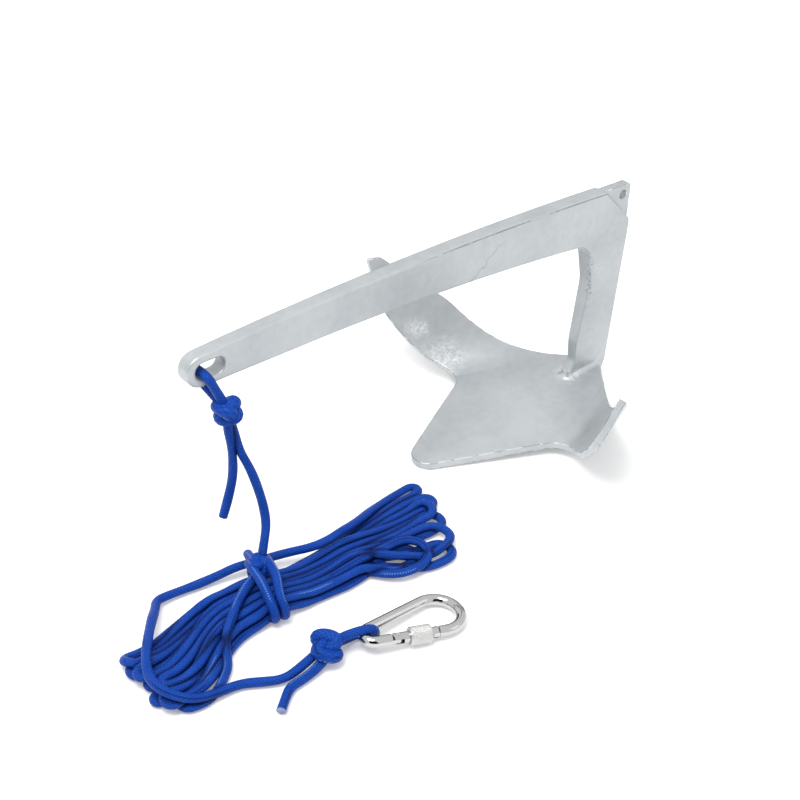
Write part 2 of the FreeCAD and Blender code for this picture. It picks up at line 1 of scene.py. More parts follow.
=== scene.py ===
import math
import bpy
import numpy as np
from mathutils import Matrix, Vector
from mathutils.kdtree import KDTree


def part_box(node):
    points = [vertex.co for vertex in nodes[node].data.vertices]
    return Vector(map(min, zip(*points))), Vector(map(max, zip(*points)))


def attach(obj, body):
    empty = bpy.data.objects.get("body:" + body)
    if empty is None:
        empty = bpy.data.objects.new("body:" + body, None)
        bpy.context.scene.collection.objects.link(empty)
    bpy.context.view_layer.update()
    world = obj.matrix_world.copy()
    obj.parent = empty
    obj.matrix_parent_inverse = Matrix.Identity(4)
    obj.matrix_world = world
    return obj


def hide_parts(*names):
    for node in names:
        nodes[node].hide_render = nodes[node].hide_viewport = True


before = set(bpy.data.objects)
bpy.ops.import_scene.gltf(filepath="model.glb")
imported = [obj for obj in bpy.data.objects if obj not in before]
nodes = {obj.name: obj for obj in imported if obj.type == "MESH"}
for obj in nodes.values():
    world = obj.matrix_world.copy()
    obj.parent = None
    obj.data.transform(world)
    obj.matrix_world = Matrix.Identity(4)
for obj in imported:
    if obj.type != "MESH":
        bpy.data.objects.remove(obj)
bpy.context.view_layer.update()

# %% [markdown]
# # A claw anchor with its line and snap hook
# A claw anchor is one steel casting, dipped in molten zinc. A blue braided line is tied through the slot at
# the end of its shank and ends in a screw-gate snap hook. The rigid pieces come from the CAD model and only
# need their finishes. The line is soft, so this file winds, ties and lays it.

# %% [markdown]
# ## The camera
# A product photograph is matched by four things: where the camera stands, where it looks, how far it is and
# how long its lens is. Two angles give the direction. From them come the camera's right, up and backward
# axes, and those three axes are the columns of its rotation matrix.

# %% Camera
def put_in_scene(name, data):
    made = bpy.data.objects.new(name, data)
    bpy.context.scene.collection.objects.link(made)
    return made


camera_turn = math.radians(-39.40)
camera_tilt = math.radians(33.58)
camera_place = Vector((-0.65924, -0.77349, 0.73276))
level, rise = math.cos(camera_tilt), math.sin(camera_tilt)
right = Vector((math.cos(camera_turn), math.sin(camera_turn), 0))
backward = Vector((math.sin(camera_turn) * level, -math.cos(camera_turn) * level, rise))
camera_axes = Matrix((right, backward.cross(right), backward)).transposed().to_4x4()
camera_data = bpy.data.cameras.new("camera")
camera_data.lens = 72
camera_data.sensor_width = 36
camera = put_in_scene("camera", camera_data)
camera.matrix_world = Matrix.Translation(camera_place) @ camera_axes
bpy.context.scene.camera = camera
print("camera at", [round(c, 3) for c in camera_place])

# %% [markdown]
# ## Where the line runs
# The line is one braided rope of 6.5 mm. Its route is a handful of points, in metres, chosen from the
# photograph. A NURBS spline takes them as control points and rounds every corner, as a soft rope does.

# %% Routes at the anchor
rope_diameter = 0.0065
rope_radius = rope_diameter / 2
eye_knot_at = Vector((-0.185, -0.014, 0.135))
tie_knot_at = Vector((-0.1845, -0.044, 0.0263))
hook_knot_at = Vector((-0.194, -0.129, 0.0088))

eye_loop_route = [
    tuple(eye_knot_at), (-0.1885, -0.0135, 0.1450), (-0.1925, -0.0118, 0.1550), (-0.1958, -0.0100, 0.1640),
    (-0.1958, 0.0100, 0.1645), (-0.1925, 0.0095, 0.1540), (-0.1888, -0.0010, 0.1450), tuple(eye_knot_at),
]
hanging_route = [
    (-0.1845, -0.0125, 0.1340), (-0.1806, -0.0128, 0.1178), (-0.1797, -0.0169, 0.1018),
    (-0.1747, -0.0214, 0.0868), (-0.1723, -0.0264, 0.0713), (-0.1712, -0.0304, 0.0568),
    (-0.1732, -0.0355, 0.0455), (-0.1795, -0.0410, 0.0370), tuple(tie_knot_at),
]
eye_tail_route = [
    (-0.1850, -0.0150, 0.1330), (-0.1866, -0.0146, 0.1249), (-0.1840, -0.0146, 0.1069),
    (-0.1836, -0.0146, 0.0874), (-0.1870, -0.0146, 0.0704), (-0.1950, -0.0146, 0.0504),
]
print("routes at the anchor:", len(eye_loop_route + hanging_route + eye_tail_route), "points")

# %% Routes on the floor
lead_route = [
    (-0.1405, -0.0440, 0.0140), (-0.1545, -0.0350, 0.0110), (-0.1680, -0.0290, 0.0092),
    (-0.1830, -0.0252, 0.0095), (-0.1940, -0.0222, 0.0090), (-0.2060, -0.0180, 0.0050),
    (-0.2220, -0.0155, 0.0038), (-0.2440, -0.0130, 0.0045), (-0.2535, -0.0140, 0.0055),
    (-0.2600, -0.0235, 0.0080), (-0.2710, -0.0370, 0.0125), (-0.2850, -0.0550, 0.0158),
    (-0.2980, -0.0730, 0.0165), (-0.3045, -0.0900, 0.0165), (-0.3020, -0.1055, 0.0158),
    (-0.2890, -0.1160, 0.0100), (-0.2710, -0.1150, 0.0045), (-0.2540, -0.1165, 0.0036),
    (-0.2425, -0.1240, 0.0036), (-0.2300, -0.1315, 0.0038), (-0.2160, -0.1315, 0.0060),
    (-0.1980, -0.1285, 0.0090),
]
hook_loop_route = [
    tuple(hook_knot_at), (-0.1850, -0.1310, 0.0128), (-0.1740, -0.1355, 0.0158),
    (-0.1618, -0.1410, 0.0172), (-0.1580, -0.1380, 0.0040), (-0.1640, -0.1270, 0.0034),
    (-0.1760, -0.1265, 0.0040), (-0.1860, -0.1290, 0.0080), tuple(hook_knot_at),
]
hook_tail_route = [
    (-0.1960, -0.1340, 0.0070), (-0.2070, -0.1375, 0.0045), (-0.2185, -0.1390, 0.0036),
    (-0.2295, -0.1395, 0.0036), (-0.2370, -0.1440, 0.0036), (-0.2480, -0.1535, 0.0036),
]
print("routes on the floor:", len(lead_route), "points along the longest free stretch")

# %% [markdown]
# ## From a route to points along it
# A curve with no bevel turns into a mesh that is only its centreline, and that mesh gives the points that a
# tube can follow. They are then spaced evenly, so that the braid keeps the same size all along.

# %% Points along a spline
def centreline(points):
    curve = bpy.data.curves.new("route", "CURVE")
    curve.dimensions = "3D"
    curve.resolution_u = 8
    spline = curve.splines.new("NURBS")
    spline.points.add(len(points) - 1)
    for point, place in zip(spline.points, points):
        point.co = (*place, 1)
    spline.order_u = 3
    spline.use_endpoint_u = True
    holder = bpy.data.objects.new("route", curve)
    mesh = bpy.data.meshes.new_from_object(holder)
    line = np.array([v.co[:] for v in mesh.vertices])
    bpy.data.objects.remove(holder)
    bpy.data.meshes.remove(mesh)
    bpy.data.curves.remove(curve)
    return line


def evenly(line, step):
    gaps = np.linalg.norm(np.diff(line, axis=0), axis=1)
    along = np.concatenate([[0], np.cumsum(gaps)])
    count = max(int(round(along[-1] / step)), 4)
    places = np.linspace(0, along[-1], count + 1)
    return np.stack([np.interp(places, along, line[:, i]) for i in range(3)], axis=1)


def length_of(line):
    return float(np.linalg.norm(np.diff(line, axis=0), axis=1).sum())


print("hanging strand:", round(length_of(centreline(hanging_route)) * 1000), "mm")

# %% [markdown]
# ## Rope as a mesh
# A rope is swept as rings round its centreline. Each ring keeps the direction of the one before, so that the
# braid doesn't twist. A soft braided rope is never quite round: it lies a little flat, and it swells and
# thins along its length. The UV map holds turns round the rope and distance along it, which the braid uses.

# %% Directions along the rope
def carried_frames(line):
    """At each point: the way ahead, and two directions square to it that don't spin."""
    tangents = np.gradient(line, axis=0)
    tangents /= np.linalg.norm(tangents, axis=1)[:, None]
    side = np.cross(tangents[0], [0.0, 0.0, 1.0])
    if np.linalg.norm(side) < 0.2:
        side = np.array([1.0, 0.0, 0.0])
    sides = []
    for tangent in tangents:
        side = side - tangent * side.dot(tangent)
        side = side / np.linalg.norm(side)
        sides.append(side)
    sides = np.array(sides)
    return tangents, sides, np.cross(tangents, sides)


def map_braid(mesh, along, around, radius):
    """UV map: distance along the rope in turns of its girth, and share of the way round it."""
    tubes = len(along) - 1
    ring, turn = np.repeat(np.arange(tubes), around), np.tile(np.arange(around), tubes)
    far = along / (2 * math.pi * radius)
    u = np.stack([far[ring], far[ring], far[ring + 1], far[ring + 1]], 1)
    v = np.stack([turn, turn + 1, turn + 1, turn], 1) / around
    corners = np.zeros((len(mesh.loops), 2))
    corners[:u.size] = np.stack([u.reshape(-1), v.reshape(-1)], 1)
    mesh.uv_layers.new(name="UVMap").data.foreach_set("uv", corners.reshape(-1))


print("rope of", round(rope_diameter * 1000, 1), "mm, girth", round(math.pi * rope_diameter * 1000, 1), "mm")

# %% Sweeping rope
tip_height = 0.35
swell_shares = 0.035, 0.025
swell_paces = 0.011, 0.0047


def close_end(verts, faces, ring, tip):
    """A low cone over the open end of the tube."""
    verts.append(tip.tolist())
    for one, other in zip(ring.tolist(), np.roll(ring, -1).tolist()):
        faces.append([one, other, len(verts) - 1])


def rope_piece(name, line, around=14, step=0.0014, flat=0.10, radius=rope_radius, ends=True, phase=0.0):
    line = evenly(line, step)
    tangents, sides, ups = carried_frames(line)
    count = len(line)
    along = np.arange(count) * length_of(line) / (count - 1)
    turn = np.linspace(0, 2 * math.pi, around, endpoint=False)[None, :, None]
    swell = 1 + swell_shares[0] * np.sin(along / swell_paces[0] + phase)
    swell += swell_shares[1] * np.sin(along / swell_paces[1] + 2 * phase)
    offset = np.cos(turn) * sides[:, None, :] + np.sin(turn) * ups[:, None, :]
    level = 1 - np.abs(tangents[:, 2])
    wider = 1 + 0.5 * flat * level
    squash = np.stack([wider, wider, 1 - flat * level], axis=1)
    rings = line[:, None, :] + offset * squash[:, None, :] * (radius * swell)[:, None, None]
    index = np.arange(count * around).reshape(count, around)
    a, b = index[:-1], index[1:]
    quads = np.stack([a, np.roll(a, -1, 1), np.roll(b, -1, 1), b], axis=-1)
    verts, faces = rings.reshape(-1, 3).tolist(), quads.reshape(-1, 4).tolist()
    if ends:
        close_end(verts, faces, index[0, ::-1], line[0] - tangents[0] * radius * tip_height)
        close_end(verts, faces, index[-1], line[-1] + tangents[-1] * radius * tip_height)
    mesh = bpy.data.meshes.new(name)
    mesh.from_pydata(verts, [], faces)
    map_braid(mesh, along, around, radius)
    mesh.shade_smooth()
    mesh.update()
    print(name, round(length_of(line) * 1000), "mm of rope,", len(faces), "faces")
    return put_in_scene(name, mesh), line


# %% [markdown]
# ## Winding the hank
# The spare line is folded into long turns and tied round the middle. The photograph shows eight loops at
# the right end, no two alike: small ones at the far side, two large open ones at the near side. Each gets
# one line here: how far it reaches, where its middle lies, half its width and how high it lies. The folds
# at the left end are small and lie in two layers.

# %% Loops and folds of the hank
right_loops = [
    (-0.0800, -0.0800, 0.0085, 0.0045),
    (-0.0735, -0.0860, 0.0150, 0.0135),
    (-0.0590, -0.0940, 0.0095, 0.0045),
    (-0.0480, -0.0845, 0.0115, 0.0100),
    (-0.0420, -0.0655, 0.0090, 0.0045),
    (-0.0370, -0.0535, 0.0075, 0.0105),
    (-0.0300, -0.0425, 0.0060, 0.0050),
    (-0.0300, -0.0275, 0.0048, 0.0100),
]
left_folds = [
    (-0.2945, -0.1065, 0.0062, 0.0045),
    (-0.3030, -0.1000, 0.0062, 0.0100),
    (-0.3055, -0.0945, 0.0055, 0.0040),
    (-0.2960, -0.0880, 0.0062, 0.0100),
    (-0.3000, -0.0800, 0.0060, 0.0040),
    (-0.3035, -0.0745, 0.0062, 0.0100),
    (-0.3025, -0.0665, 0.0060, 0.0040),
    (-0.3015, -0.0580, 0.0060, 0.0080),
]
turns = len(right_loops)
print("hank of", turns, "turns")

# %% [markdown]
# ## The waist of the hank
# Between the ends the strands run side by side through a narrow waist, in three layers. Three short tables
# give the waist: places along the hank, where its middle lies there and half its width. `ease` moves a
# strand smoothly from its place in the waist to its place in a loop.

# %% Strands through the waist
bundle_x = [-0.222, -0.200, -0.185, -0.170, -0.140, -0.125]
bundle_y = [-0.0575, -0.0590, -0.0610, -0.0630, -0.0635, -0.0620]
bundle_half = [0.0205, 0.0180, 0.0162, 0.0165, 0.0190, 0.0200]
waist_x, waist_lift, waist_length = -0.192, 0.0050, 0.025
tied_from, tied_to = -0.21, -0.17
lowest, layer_rise, layers = 0.0040, 0.0057, 3
drift_size, drift_pace, drift_shift = 0.0016, 0.019, 2.1
strand_step = 0.0085


def ease(t):
    t = min(max(t, 0.0), 1.0)
    return t * t * (3 - 2 * t)


def strand_point(order, x, left, right):
    """A point of the strand that is order-th from the near side; left and right are its ends."""
    across = order / turns - 1
    y = np.interp(x, bundle_x, bundle_y) + across * np.interp(x, bundle_x, bundle_half)
    lift = waist_lift * math.exp(-((x - waist_x) / waist_length) ** 2)
    z = lowest + lift + layer_rise * ((order + 1) % layers)
    end, start = (right, bundle_x[-1]) if x > bundle_x[-1] else (left, bundle_x[0])
    if x > bundle_x[-1] or x < bundle_x[0]:
        t = ease((x - start) / (end[0] - start))
        y, z = y + (end[1] - y) * t, z + (end[2] - z) * t
    if not tied_from < x < tied_to:
        y += drift_size * math.sin(x / drift_pace + drift_shift * order)
    return Vector((x, y, z))


def strand(order, left, right, rightwards=True):
    count = int((right[0] - left[0]) / strand_step)
    places = [left[0] + (right[0] - left[0]) * i / count for i in range(count + 1)]
    return [strand_point(order, x, left, right) for x in (places if rightwards else reversed(places))]


print("waist of", round(2000 * min(bundle_half)), "mm across")

# %% [markdown]
# ## Bends and the whole hank
# Every turn is a bend at the left end, a strand to the right, a bend at the right end and a strand back. A
# bend is one shape, scaled to the half width of its loop. The first stretch comes from the tie's knot over
# the top of the turns, and the last one leaves the far loop and becomes the lead to the hook.

# %% Winding
near, far = -1, 1
bend_length = 1.9
bend = ((-0.95, near), (-0.45, -0.86), (-0.10, -0.48), (0.0, 0.0), (-0.10, 0.48), (-0.45, 0.86), (-0.95, far))
hank_start = [tuple(tie_knot_at), (-0.1925, -0.0490, 0.0195), (-0.2050, -0.0535, 0.0200),
              (-0.2180, -0.0610, 0.0195), (-0.2300, -0.0700, 0.0165), (-0.2400, -0.0775, 0.0120)]
hank_finish = [(-0.0480, -0.0240, 0.0095), (-0.0600, -0.0262, 0.0100), (-0.0740, -0.0300, 0.0110),
               (-0.0880, -0.0350, 0.0125), (-0.1020, -0.0400, 0.0140), (-0.1160, -0.0435, 0.0150),
               (-0.1280, -0.0450, 0.0145)]


def fold(loop, outward):
    """The bend of a loop, from its near strand round to its far one."""
    reach, middle, half, height = loop
    return [Vector((reach + outward * back * half, middle + out * half, height)) for back, out in bend]


def loop_end(loop, outward, side):
    reach, middle, half, height = loop
    return (reach - outward * half * bend_length, middle + side * half, height)


def wound_hank():
    first = loop_end(left_folds[0], -1, near)
    points = [Vector(p) for p in hank_start]
    points += [strand_point(0, x, first, first) for x in np.linspace(-0.250, first[0], 6)]
    for k in range(turns):
        points += fold(left_folds[k], -1)
        points += strand(2 * k + 1, loop_end(left_folds[k], -1, far), loop_end(right_loops[k], 1, near))
        points += fold(right_loops[k], 1)
        if k < turns - 1:
            next_left = loop_end(left_folds[k + 1], -1, near)
            points += strand(2 * k + 2, next_left, loop_end(right_loops[k], 1, far), rightwards=False)
    return np.array([p[:] for p in points + [Vector(p) for p in hank_finish]])


hank_points = wound_hank()
print("hank laid out as", len(hank_points), "points")

# %% [markdown]
# ## Settling the turns
# Laid out like this, ropes would pass through each other. So the points settle as rope does in the hand:
# where two stretches are closer than a rope's width they push each other away, the floor holds them up, and
# every point moves along with its neighbours, so that the loops keep their shape. Under the tie the turns
# leave room for its own rope on the floor side and can't spread past the waist.

# %% Settling
touching = rope_diameter * 0.98
push_share, longest_push = 0.28, 0.0014
follow_share, fall = 0.45, 0.00012
tie_length, tie_room = 0.016, 0.0040
side_room, loose_room, highest = 0.0005, 0.05, 0.0215
rounds_for_a_quick_look, rounds = 30, 130
tiny = 1e-9


def settle(points, rounds):
    laid, points = points, points.copy()
    place = np.arange(len(points))
    apart = np.abs(place[:, None] - place[None, :]) > 3
    free = slice(2, -2)
    for _ in range(rounds):
        gaps = points[:, None, :] - points[None, :, :]
        distance = np.sqrt((gaps ** 2).sum(-1)) + tiny
        push = np.where(apart & (distance < touching), (touching - distance) / distance, 0.0)
        move = (gaps * push[:, :, None]).sum(1) * push_share
        move *= np.minimum(1, longest_push / (np.linalg.norm(move, axis=1)[:, None] + tiny))
        points[free] += move[free]
        moved = points - laid
        points[free] += ((np.roll(moved, 1, 0) + np.roll(moved, -1, 0)) / 2 - moved)[free] * follow_share
        points[free, 2] -= fall
        at_tie = np.exp(-((points[:, 0] - waist_x) / tie_length) ** 2)
        points[:, 2] = np.maximum(points[:, 2], rope_radius * 1.02 + tie_room * at_tie)
        reach = np.interp(points[:, 0], bundle_x, bundle_half) + side_room + loose_room * (1 - at_tie)
        middle = np.interp(points[:, 0], bundle_x, bundle_y)
        points[free, 1] = np.clip(points[free, 1], (middle - reach)[free], (middle + reach)[free])
        points[free, 2] = np.minimum(points[free, 2], highest)
    return points


settled = settle(hank_points, rounds)
print("hank settled,", round(settled[:, 2].max() * 1000, 1), "mm high to the middle of the rope")

# %% [markdown]
# ## The turns of the tie
# The tie goes twice round the hank at its waist, side by side, and its last turn takes in the lead as well.
# It is knotted on top, at the far side. Each turn is given by three places seen in the photograph: its far
# side, its top and its near side. In between it keeps the same heights over and under the hank.

# %% Turns of the tie
tie_turns = (((-0.1950, -0.0422), (-0.1990, -0.0650), (-0.2022, -0.0838)),
             ((-0.1820, -0.0440), (-0.1872, -0.0660), (-0.1948, -0.0850)))
between_turns = [(-0.1885, -0.0392, 0.0065), (-0.1890, -0.0352, 0.0145)]
round_lead = [(-0.1760, -0.0345, 0.0032), (-0.1765, -0.0240, 0.0032), (-0.1770, -0.0190, 0.0045),
              (-0.1800, -0.0190, 0.0135), (-0.1835, -0.0270, 0.0172), (-0.1855, -0.0360, 0.0205)]


def turn_round(far_side, top, near_side):
    """One turn: over the hank from its far side, down its near side and back underneath."""
    (x1, y1), (x2, y2), (x3, y3) = far_side, top, near_side
    return [(x1 + 0.003, y1 + 0.005, 0.0225), (x1, y1 - 0.004, 0.0262),
            ((x1 + x2) / 2, (y1 + y2) / 2, 0.0272), (x2, y2, 0.0262), (x3, y3 + 0.006, 0.0215),
            (x3, y3, 0.0140), (x3 + 0.0005, y3, 0.0065), (x3 + 0.002, y3 + 0.008, 0.0032),
            ((x1 + x3) / 2, (y1 + y3) / 2, 0.0030), (x1 + 0.004, y1 - 0.006, 0.0032)]


tie_route = [tuple(tie_knot_at), *turn_round(*tie_turns[0]), *between_turns, *turn_round(*tie_turns[1]),
             *round_lead, tuple(tie_knot_at)]
print("tie of", len(tie_turns), "turns and one round the lead:", len(tie_route), "points")

# %% [markdown]
# ## Laying the stretches
# Each stretch between two knots is a piece of its own, so that it can stand for its own CAD solid. The hank
# and the lead are one stretch, because no knot parts them. It lies pressed, so it is swept flatter, and the
# tie, which is drawn tight, is the flattest. `phase` shifts the swelling, so that no two look alike.

# %% Laying the stretches
free_rope = dict(around=18)
stretches = (
    ("line_through_eye", eye_loop_route, dict(phase=0.4, **free_rope)),
    ("line_hanging", hanging_route, dict(phase=1.1, **free_rope)),
    ("line_tail_at_eye", eye_tail_route, dict(phase=2.3, **free_rope)),
    ("line_hank_and_lead", settled.tolist() + lead_route,
     dict(phase=0.9, flat=0.14, around=12, step=0.0016)),
    ("line_tie", tie_route, dict(phase=3.0, flat=0.20)),
    ("line_through_hook", hook_loop_route, dict(phase=1.7, **free_rope)),
    ("line_tail_at_hook", hook_tail_route, dict(phase=0.2, **free_rope)),
)
laid = {name: rope_piece(name, centreline(route), **how) for name, route, how in stretches}
print("line in all:", round(sum(length_of(line) for _, line in laid.values()), 2), "m")

# %% [markdown]
# ## Knots
# A knot is the same rope, drawn tight round itself. An overhand knot is a closed curve with three lobes, and
# stretched to the knot's size it gives the crossing strands that the photograph shows. Its ends run inside
# the lump, where nothing shows. Each row gives the place, the size, the lean in degrees and how thick the
# strands are beside the rope.

# %% Knots as crossing strands
knot_rows = (
    ("knot_at_eye", eye_knot_at, (0.0215, 0.0225, 0.0200), (70, 10, 20), 1.62),
    ("knot_of_tie", tie_knot_at + Vector((-0.0046, -0.0028, -0.0015)),
     (0.0190, 0.0170, 0.0135), (10, 0, 30), 1.15),
    ("knot_at_hook", hook_knot_at + Vector((0, -0.0015, 0.0022)),
     (0.0215, 0.0290, 0.0215), (0, 90, -34), 1.42),
)


def knot_piece(name, centre, size, lean, thickness):
    radius = rope_radius * thickness
    t = np.linspace(0, 2 * math.pi, 97)[:-1]
    x, y = np.sin(t) + 2 * np.sin(2 * t), np.cos(t) - 2 * np.cos(2 * t)
    loop = np.stack([x / 3, y / 3, -np.sin(3 * t)], 1) * (np.array(size) / 2 - radius)
    turned = Matrix.Identity(3)
    for degrees, axis in zip(lean, "XYZ"):
        turned = Matrix.Rotation(math.radians(degrees), 3, axis) @ turned
    loop = loop @ np.array(turned).T + np.array(centre)
    loop[:, 2] = np.maximum(loop[:, 2], radius * 1.02)
    closed = np.vstack([loop, loop[:2]])
    return rope_piece(name, closed, radius=radius, around=16, step=0.0010, ends=False)[0]


knots = {row[0]: knot_piece(*row) for row in knot_rows}
print("knots:", ", ".join(knots))

# %% [markdown]
# ## Where ropes touch
# Little light gets between ropes that lie against each other. Every vertex is given a mark of how close the
# nearest other stretch of rope is, and the material paints shade on the rope there. A KD tree answers the
# question of who is near quickly. Points of the same stretch count too, unless they are close neighbours
# along it.

# %% Marking the creases
neighbours = 9
dark_within, mark_range = 1.75 * rope_radius, 0.75 * rope_radius
owners = [(number, i) for number, (_, line) in enumerate(laid.values()) for i in range(len(line))]
rope_points = np.vstack([line for _, line in laid.values()])
tree_of_points = KDTree(len(owners))
for number, point in enumerate(rope_points):
    tree_of_points.insert(Vector(point), number)
tree_of_points.balance()


def mark_creases(piece, own, around):
    marks = []
    for vertex in piece.data.vertices:
        ring = vertex.index // around
        closest = 2 * rope_radius
        for _, number, distance in tree_of_points.find_range(vertex.co, 2 * rope_radius):
            owner, i = owners[number]
            if (owner != own or abs(i - ring) > neighbours) and distance < closest:
                closest = distance
        marks.append(max(0.0, min(1.0, (dark_within - closest) / mark_range)))
    layer = piece.data.attributes.new("contact_shade", "FLOAT", "POINT")
    layer.data.foreach_set("value", marks)


for number, (piece, line) in enumerate(laid.values()):
    mark_creases(piece, number, len(piece.data.vertices) // len(line))
print("marked", len(owners), "points of rope")

# %% [markdown]
# ## Putting the soft pieces on the anchor
# The pieces ride on the anchor's body and stand for the plain CAD solids.

# %% Putting the line on the anchor
def lay_rope(piece, line, node, far_end, lay, with_pieces=()):
    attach(piece, "anchor")
    if node:
        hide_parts(*node)


eye_knot, tie_knot, hook_knot = knots.values()
for piece, node in ((eye_knot, "rope_eye_knot"), (tie_knot, "rope_tie_knot"), (hook_knot, "rope_hook_knot")):
    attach(piece, "anchor")
    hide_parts(node)
lay_rope(*laid["line_through_eye"], ["rope_eye_loop"], "knot", "taut", [eye_knot])
lay_rope(*laid["line_hanging"], ["rope_hanging"], "knot", "hanging", [tie_knot])
lay_rope(*laid["line_tail_at_eye"], ["rope_eye_tail"], "bare", "hanging")
lay_rope(*laid["line_hank_and_lead"], ["rope_hank", "rope_lead"], "knot", "coiled", [hook_knot])
lay_rope(*laid["line_tie"], [], "knot", "coiled", [tie_knot])
lay_rope(*laid["line_through_hook"], ["rope_hook_loop"], "knot", "loose", [hook_knot])
lay_rope(*laid["line_tail_at_hook"], ["rope_hook_tail"], "bare", "loose")
print("declared", len(laid), "stretches and", len(knots), "knots")

# %% [markdown]
# ## Building materials from nodes
# A material is a small graph. These helpers add a node with its values and wire it, so that each material
# reads as a short list of what it is made of. `feed` takes a number, a colour or another node's output.

# %% Adding and wiring nodes
def add(tree, kind, **values):
    made = tree.nodes.new(kind)
    for key, value in values.items():
        if key.startswith("in_"):
            made.inputs[key[3:].replace("_", " ")].default_value = value
        else:
            setattr(made, key, value)
    return made


def feed(tree, value, socket):
    if isinstance(value, (int, float)):
        socket.default_value = value
    elif isinstance(value, tuple):
        socket.default_value = (*value, 1)
    else:
        tree.links.new(value, socket)


def calc(tree, operation, *values):
    made = add(tree, "ShaderNodeMath", operation=operation)
    for socket, value in zip(made.inputs, values):
        feed(tree, value, socket)
    return made.outputs[0]


def product(tree, first, *others):
    for other in others:
        first = calc(tree, "MULTIPLY", first, other)
    return first


def rest_of(tree, share):
    return calc(tree, "SUBTRACT", 1.0, share)


def blend_colours(tree, share, first, second):
    made = add(tree, "ShaderNodeMix", data_type="RGBA")
    for number, value in ((0, share), (6, first), (7, second)):
        feed(tree, value, made.inputs[number])
    return made.outputs[2]


def ramp(tree, value, low, high):
    made = add(tree, "ShaderNodeMapRange", in_From_Min=low, in_From_Max=high)
    tree.links.new(value, made.inputs["Value"])
    return made.outputs[0]


print("helpers for nodes are ready")


# %% Places, noise, groups and materials
def object_place(tree):
    return add(tree, "ShaderNodeTexCoord").outputs["Object"]


def axes_of(tree, vector):
    made = add(tree, "ShaderNodeSeparateXYZ")
    tree.links.new(vector, made.inputs[0])
    return made.outputs


def noise(tree, scale, detail, roughness=0.5):
    made = add(tree, "ShaderNodeTexNoise", in_Detail=detail, in_Roughness=roughness)
    feed(tree, scale, made.inputs["Scale"])
    tree.links.new(object_place(tree), made.inputs["Vector"])
    return made.outputs[0]


def new_group(name, inputs, outputs):
    """A shader node group whose inputs and outputs are all plain numbers."""
    group = bpy.data.node_groups.new(name, "ShaderNodeTree")
    for label, value in inputs.items():
        socket = group.interface.new_socket(name=label, in_out="INPUT", socket_type="NodeSocketFloat")
        socket.default_value = value
    for label in outputs:
        group.interface.new_socket(name=label, in_out="OUTPUT", socket_type="NodeSocketFloat")
    return group, add(group, "NodeGroupInput").outputs, add(group, "NodeGroupOutput").inputs


def place_group(tree, group, **values):
    made = add(tree, "ShaderNodeGroup", node_tree=group)
    for label, value in values.items():
        made.inputs[label].default_value = value
    return made.outputs


def new_material(name, metallic, roughness):
    material = bpy.data.materials.new(name)
    material.use_nodes = True
    shader = material.node_tree.nodes["Principled BSDF"]
    shader.inputs["Metallic"].default_value = metallic
    shader.inputs["Roughness"].default_value = roughness
    return material, material.node_tree, shader.inputs


def add_relief(tree, surface, height, strength, under=None):
    """Wires a bump to the surface; under is a normal that it starts from."""
    bump = add(tree, "ShaderNodeBump", in_Strength=strength, in_Distance=0.0006)
    tree.links.new(height, bump.inputs["Height"])
    if under:
        tree.links.new(under, bump.inputs["Normal"])
    tree.links.new(bump.outputs[0], surface["Normal"])


print("helpers for groups and materials are ready")

# %% [markdown]
# ## The braid as a node group
# The rope's cover is a diamond braid: yarns run round it both ways and pass over and under each other. Two
# sums of the UV coordinates count the yarns of each direction. Where both counts are even or both odd, one
# direction lies on top, otherwise the other does. The group gives the height of the yarns and the painted
# shade of the gaps between them. It also gives two marks that come and go along the rope: a dashed line of
# pale stitches, where the cover's seam lies on top, and painted shade along the long fold of a cover that
# lies a little flat.

# %% Braid group
def braid_group():
    group, given, out = new_group("braided cover", {"Yarns": 8.0, "Pitch": 1.0},
                                  ("Height", "GapShade", "Stitches", "FoldShade"))
    along, round_rope, _ = axes_of(group, add(group, "ShaderNodeUVMap", uv_map="UVMap").outputs[0])
    forward = product(group, along, given["Yarns"], given["Pitch"])
    sideways = product(group, round_rope, given["Yarns"])
    ways = calc(group, "ADD", forward, sideways), calc(group, "SUBTRACT", forward, sideways)
    counts = calc(group, "ADD", *(calc(group, "FLOOR", way) for way in ways))
    parity = calc(group, "FLOORED_MODULO", counts, 2.0)
    one, other = (calc(group, "SINE", product(group, calc(group, "FRACT", way), math.pi)) for way in ways)
    even = rest_of(group, parity)
    upper, lower = (calc(group, "ADD", product(group, parity, first), product(group, even, second))
                    for first, second in ((one, other), (other, one)))
    height = product(group, calc(group, "POWER", upper, 0.6), calc(group, "POWER", lower, 0.35))
    group.links.new(height, out["Height"])
    group.links.new(rest_of(group, ramp(group, height, 0.15, 0.6)), out["GapShade"])
    come_and_go = noise(group, 24.0, 1.0)
    for label, middle, low, high in (("Stitches", 0.80, 0.50, 0.56), ("FoldShade", 0.64, 0.52, 0.44)):
        away = calc(group, "ABSOLUTE", calc(group, "SUBTRACT", calc(group, "FRACT", round_rope), middle))
        band = rest_of(group, ramp(group, away, 0.016, 0.040))
        mark = product(group, band, ramp(group, come_and_go, low, high))
        if label == "Stitches":
            dash = calc(group, "FRACT", product(group, along, 12.0))
            mark = product(group, mark, calc(group, "LESS_THAN", dash, 0.55))
        group.links.new(mark, out[label])
    return group


braid = braid_group()
print("braid group has", len(braid.nodes), "nodes")

# %% [markdown]
# ## Mottling as a node group
# Zinc, steel and rope all vary a little from place to place. One group mixes a broad and a fine noise in the
# object's own coordinates, and every material sets its own scale. A second output keeps only the peaks of
# the fine noise, as specks.

